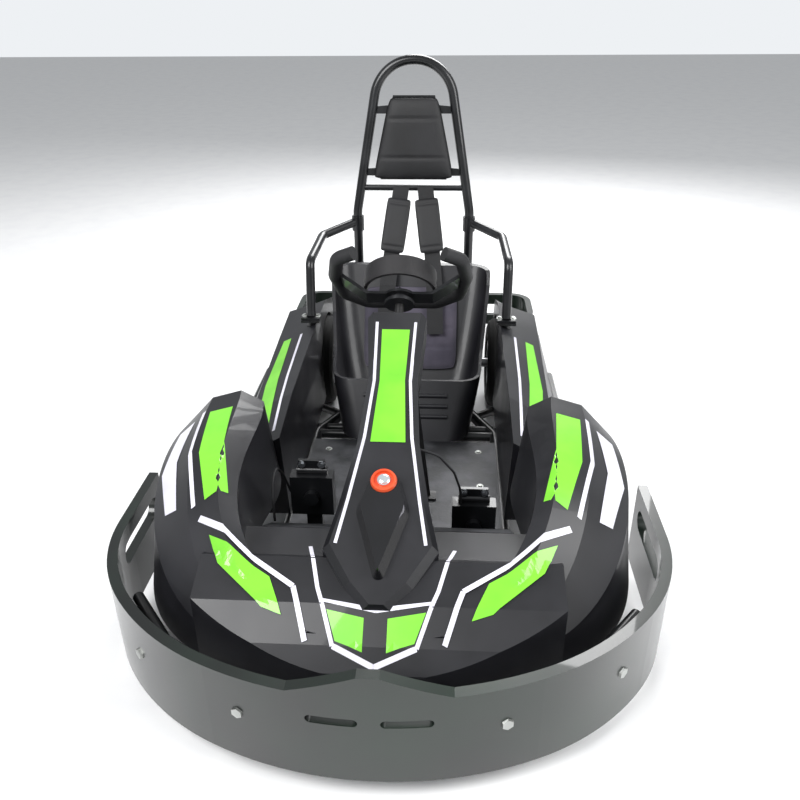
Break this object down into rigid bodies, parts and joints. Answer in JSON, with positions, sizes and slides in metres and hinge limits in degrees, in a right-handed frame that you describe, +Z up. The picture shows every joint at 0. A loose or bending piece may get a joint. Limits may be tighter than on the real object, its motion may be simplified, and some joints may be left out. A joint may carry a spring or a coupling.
{
  "type": "electric go-kart",
  "caption": "Low electric kart with a wrap-round nose belt, moulded fenders, bucket seat, roll hoop, steered front wheels and a live rear axle.",
  "frame": {"origin": "on the ground under the middle of the footprint", "axes": "+X to the kart's left-hand viewer's right seen from the nose, +Y from nose to tail, +Z up"},
  "size_m": [1.098, 1.8, 1.01],
  "materials": {
    "frame_steel": "satin",
    "black_steel": "satin",
    "grip_rubber": "matt",
    "grip_leather": "grained",
    "bright_steel": "brushed",
    "rim_alloy": "cast",
    "tyre": "slick",
    "body_plastic": "satin moulded",
    "belt_plastic": "glossy",
    "gloss_black": "gloss",
    "button_red": "gloss",
    "tray_steel": "worn",
    "seat_fabric": "textured",
    "pad_vinyl": "grained",
    "strap_fabric": "webbing",
    "buckle_chrome": "polished",
    "battery_case": "moulded",
    "wire_rubber": "smooth"
  },
  "bodies": {
    "chassis": {"chassis_frame": "frame_steel", "steering_post": "frame_steel", "brake_caliper": "rim_alloy", "motor": "rim_alloy", "chain_case": "body_plastic", "nose_belt": "belt_plastic", "nose_frame": "frame_steel", "front_fairing": "body_plastic", "console_cover": "body_plastic", "console_hump": "gloss_black", "start_button": "button_red", "floor_tray": "tray_steel", "seat_shell": "body_plastic", "seat_cushions": "seat_fabric", "side_pod_left": "body_plastic", "side_pod_right": "body_plastic", "side_bumpers": "belt_plastic", "rear_bumper": "belt_plastic", "roll_hoop": "black_steel", "hoop_braces": "black_steel", "headrest_pad": "pad_vinyl", "harness_straps": "strap_fabric", "harness_pads": "pad_vinyl", "harness_buckle": "buckle_chrome", "brake_pedal": "black_steel", "throttle_pedal": "black_steel", "battery_blocks": "battery_case", "pedal_wires": "wire_rubber"},
    "steering": {"steering_column": "frame_steel", "steering_plate": "black_steel", "steering_grips": "grip_rubber", "steering_band": "grip_leather"},
    "knuckle_left": {"knuckle_left": "frame_steel"},
    "knuckle_right": {"knuckle_right": "frame_steel"},
    "tie_rod_left": {"tie_rod_left": "bright_steel"},
    "tie_rod_right": {"tie_rod_right": "bright_steel"},
    "front_wheel_left": {"front_rim_left": "rim_alloy", "front_tyre_left": "tyre"},
    "front_wheel_right": {"front_rim_right": "rim_alloy", "front_tyre_right": "tyre"},
    "rear_axle": {"rear_axle": "bright_steel", "rear_rims": "rim_alloy", "rear_tyre_left": "tyre", "rear_tyre_right": "tyre", "brake_disc": "bright_steel"}
  },
  "joints": [
    {"name": "steering_turn", "type": "hinge", "parent": "chassis", "child": "steering", "pos_m": [0, 0.008, 0.587], "axis": [0, 0.766, 0.6428], "range_deg": [-45, 45]},
    {"name": "knuckle_left_turn", "type": "hinge", "parent": "chassis", "child": "knuckle_left", "pos_m": [-0.292, -0.458, 0.127], "axis": [0, 0, 1], "range_deg": [-18, 18]},
    {"name": "knuckle_right_turn", "type": "hinge", "parent": "chassis", "child": "knuckle_right", "pos_m": [0.292, -0.458, 0.127], "axis": [0, 0, 1], "range_deg": [-18, 18]},
    {"name": "tie_rod_left_pivot", "type": "hinge", "parent": "steering", "child": "tie_rod_left", "pos_m": [0, -0.568, 0.16634], "axis": [0, 0.766, 0.6428], "range_deg": [-45, 45]},
    {"name": "tie_rod_right_pivot", "type": "hinge", "parent": "steering", "child": "tie_rod_right", "pos_m": [0, -0.568, 0.16634], "axis": [0, 0.766, 0.6428], "range_deg": [-45, 45]},
    {"name": "front_wheel_left_spin", "type": "hinge", "parent": "knuckle_left", "child": "front_wheel_left", "pos_m": [-0.385, -0.458, 0.127], "axis": [1, 0, 0], "continuous": true},
    {"name": "front_wheel_right_spin", "type": "hinge", "parent": "knuckle_right", "child": "front_wheel_right", "pos_m": [0.385, -0.458, 0.127], "axis": [1, 0, 0], "continuous": true},
    {"name": "rear_axle_spin", "type": "hinge", "parent": "chassis", "child": "rear_axle", "pos_m": [0, 0.512, 0.139], "axis": [1, 0, 0], "continuous": true}
  ],
  "couplings": [
    {"joint": "knuckle_left_turn", "follows": "steering_turn", "ratio": 0.4},
    {"joint": "knuckle_right_turn", "follows": "steering_turn", "ratio": 0.4},
    {"joint": "tie_rod_left_pivot", "follows": "steering_turn", "ratio": -1},
    {"joint": "tie_rod_right_pivot", "follows": "steering_turn", "ratio": -1}
  ]
}
